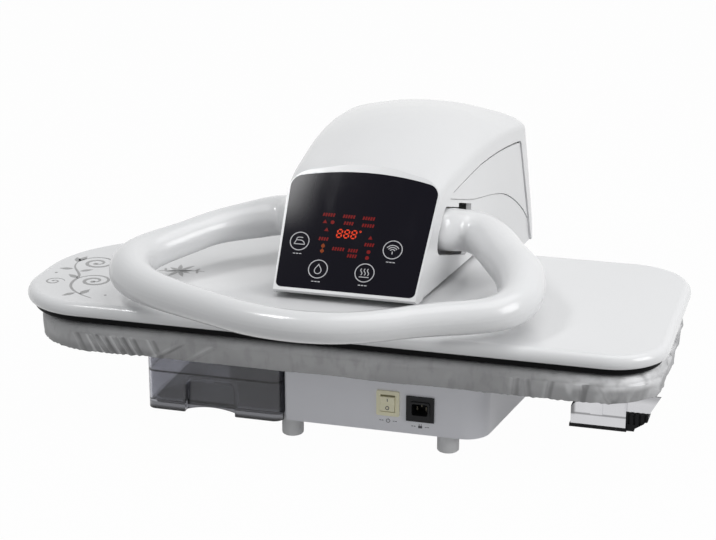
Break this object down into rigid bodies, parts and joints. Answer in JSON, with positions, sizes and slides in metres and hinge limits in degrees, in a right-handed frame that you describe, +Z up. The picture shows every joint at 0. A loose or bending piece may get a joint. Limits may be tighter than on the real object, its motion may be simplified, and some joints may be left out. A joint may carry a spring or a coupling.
{
  "type": "steam ironing press",
  "caption": "Table-top steam ironing press: hinged heated plate with domed control head and looped handle over a padded bed on a low base with pull-out water tank",
  "frame": {"origin": "on the table, under the middle of the overall box", "axes": "+Z up, +X to the right end of the plate, -Y towards the user"},
  "size_m": [0.6546, 0.536, 0.2771],
  "materials": {
    "white_gloss": "high gloss",
    "base_white": "satin",
    "foot_grey": "matte",
    "dark_rubber": "matte",
    "clear_hose": "satin",
    "smoke": "clear smoked plastic",
    "cap_grey": "satin",
    "panel_black": "high gloss",
    "display_dark": "matte",
    "cloth": "silver coated cloth",
    "foam": "open cell foam",
    "steel": "satin",
    "black_steel": "black paint",
    "bright_steel": "polished",
    "painted_pan": "satin",
    "coated_plate": "dark non-stick coat",
    "cast_grey": "cast",
    "cream": "satin",
    "black_plastic": "fine grain",
    "board_green": "satin",
    "components": "satin",
    "pump_body": "satin",
    "brass": "turned",
    "insulation": "fibre sheet"
  },
  "bodies": {
    "base": {"base_housing": "base_white", "base_floor": "base_white", "rubber_feet": "foot_grey", "floor_screws": "bright_steel", "switch_body": "cream", "iron_socket": "black_plastic", "socket_contacts": "bright_steel", "mains_gland": "dark_rubber", "power_board": "board_green", "board_standoffs": "black_plastic", "board_parts": "components", "water_pump": "pump_body", "pump_bracket": "steel", "suction_hose": "clear_hose", "feed_hose": "clear_hose", "tank_port": "brass", "hinge_bracket": "steel", "bracket_screws": "bright_steel", "hinge_shaft": "bright_steel", "shaft_clips": "bright_steel", "spring_sleeves": "black_plastic", "lift_springs": "bright_steel", "bed_posts": "painted_pan", "bed_pan": "painted_pan", "bed_foam": "foam", "bed_cover": "cloth", "rest_rails": "steel"},
    "power_rocker": {"power_rocker": "cream"},
    "tank": {"water_tank": "smoke", "tank_lid": "smoke", "outlet_seal": "dark_rubber"},
    "filler_cap": {"filler_cap": "cap_grey"},
    "iron_rest": {"iron_rest": "steel", "rest_mat": "dark_rubber"},
    "head": {"soleplate": "coated_plate", "plate_cover": "white_gloss", "plate_posts": "cast_grey", "post_screws": "bright_steel", "heating_element": "bright_steel", "steam_chamber": "cast_grey", "thermostat": "components", "thermal_fuse": "components", "insulation_sheet": "insulation", "arm_frame": "steel", "hinge_bushes": "brass", "pivot_bushes": "brass", "steam_hose": "clear_hose", "control_panel": "panel_black", "display_module": "display_dark", "control_board": "board_green", "panel_spacers": "black_plastic", "panel_bezel": "white_gloss", "arch_cover": "white_gloss", "side_cover_left": "white_gloss", "side_cover_right": "white_gloss", "hinge_cover_left": "white_gloss", "hinge_cover_right": "white_gloss"},
    "handle": {"handle": "white_gloss", "handle_levers": "black_steel", "pivot_shaft": "bright_steel"}
  },
  "joints": [
    {"name": "head_lift", "type": "hinge", "parent": "base", "child": "head", "pos_m": [0.00425, 0.182, 0.112], "axis": [-1, 0, 0], "range_deg": [0, 45], "stiffness_Nm_per_rad": 5.1, "springref_deg": 123.59, "deforming": ["feed_hose"]},
    {"name": "handle_press", "type": "hinge", "parent": "head", "child": "handle", "pos_m": [0.00425, 0.144, 0.168], "axis": [-1, 0, 0], "range_deg": [-1.2, 0], "stiffness_Nm_per_rad": 60, "springref_deg": 11.46},
    {"name": "tank_slide", "type": "slide", "parent": "base", "child": "tank", "axis": [0, -1, 0], "range_m": [0, 0.19]},
    {"name": "cap_turn", "type": "hinge", "parent": "tank", "child": "filler_cap", "pos_m": [-0.11775, -0.096, 0.084], "axis": [0, 0, 1], "range_deg": [0, 60]},
    {"name": "rocker_tilt", "type": "hinge", "parent": "base", "child": "power_rocker", "pos_m": [0.05675, -0.135, 0.053], "axis": [1, 0, 0], "range_deg": [-6, 6]},
    {"name": "rest_slide", "type": "slide", "parent": "base", "child": "iron_rest", "axis": [1, 0, 0], "range_m": [0, 0.06]}
  ]
}
